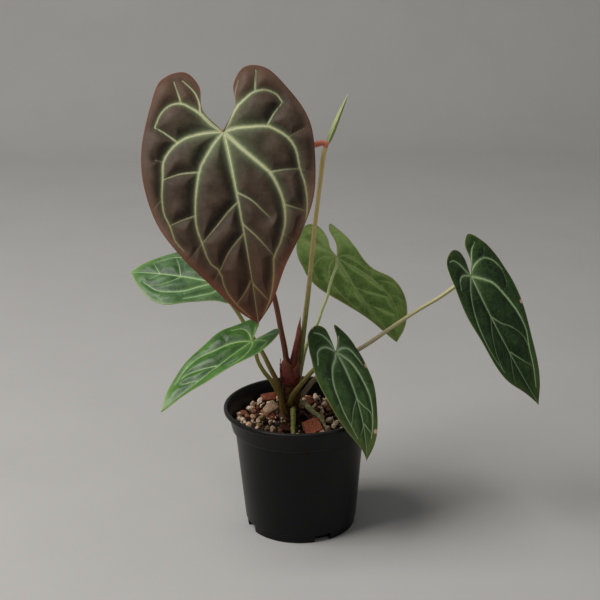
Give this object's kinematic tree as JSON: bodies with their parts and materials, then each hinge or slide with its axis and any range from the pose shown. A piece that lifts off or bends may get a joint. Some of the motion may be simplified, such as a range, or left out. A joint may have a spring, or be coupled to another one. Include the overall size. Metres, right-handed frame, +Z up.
{
  "type": "potted anthurium",
  "caption": "Velvet-leaved anthurium with heart-shaped leaves on slender stalks, one flower stalk and a short stem with roots, in a chunky mix inside a round black plastic nursery pot.",
  "frame": {"origin": "below the middle of the whole plant as seen from above, on the surface that the pot stands on; the pot's axis is 27.9 mm to the left of it and 4.9 mm behind it", "axes": "+Z up, parallel to the pot's axis, -Y towards the front that the big leaf faces, +X to the right from there"},
  "size_m": [0.3182, 0.1306, 0.3705],
  "materials": {
    "black_plastic": "satin moulded black plastic",
    "bark_and_pumice": "rough bark chips with pale pumice grains",
    "brown_stem": "rough ringed brown stem",
    "green_root": "matt green-grey root",
    "tan_root": "matt tan root",
    "purple_root": "matt purple-brown root",
    "burgundy_scales": "satin dried burgundy scales",
    "red_brown_stalk": "satin red-brown leaf stalk",
    "olive_stalk": "satin olive leaf stalk",
    "pale_green_stalk": "satin pale green leaf stalk",
    "tan_stalk": "satin tan-green leaf stalk",
    "maroon_leaf": "velvety dark maroon leaf with sunken pale veins",
    "light_green_leaf": "satin light green leaf",
    "mid_green_leaf": "satin mid green leaf",
    "dark_green_leaf": "velvety dark green leaf with pale veins",
    "flower_stalk_green": "satin green flower stalk, reddish at the foot",
    "coral_spadix": "matt coral spadix",
    "green_spathe": "satin green spathe"
  },
  "bodies": {
    "root": {"pot": "black_plastic", "potting_mix": "bark_and_pumice", "stem": "brown_stem", "root_front": "green_root", "root_right": "tan_root", "root_thin": "purple_root", "cataphylls": "burgundy_scales", "leaf_stalk_a": "red_brown_stalk", "leaf_blade_a": "maroon_leaf", "leaf_stalk_b": "olive_stalk", "leaf_blade_b": "light_green_leaf", "leaf_stalk_c": "olive_stalk", "leaf_blade_c": "mid_green_leaf", "leaf_stalk_d": "pale_green_stalk", "leaf_blade_d": "mid_green_leaf", "leaf_stalk_e": "tan_stalk", "leaf_blade_e": "dark_green_leaf", "leaf_stalk_f": "olive_stalk", "leaf_blade_f": "dark_green_leaf", "flower_stalk": "flower_stalk_green", "spadix": "coral_spadix", "spathe": "green_spathe"}
  },
  "joints": []
}
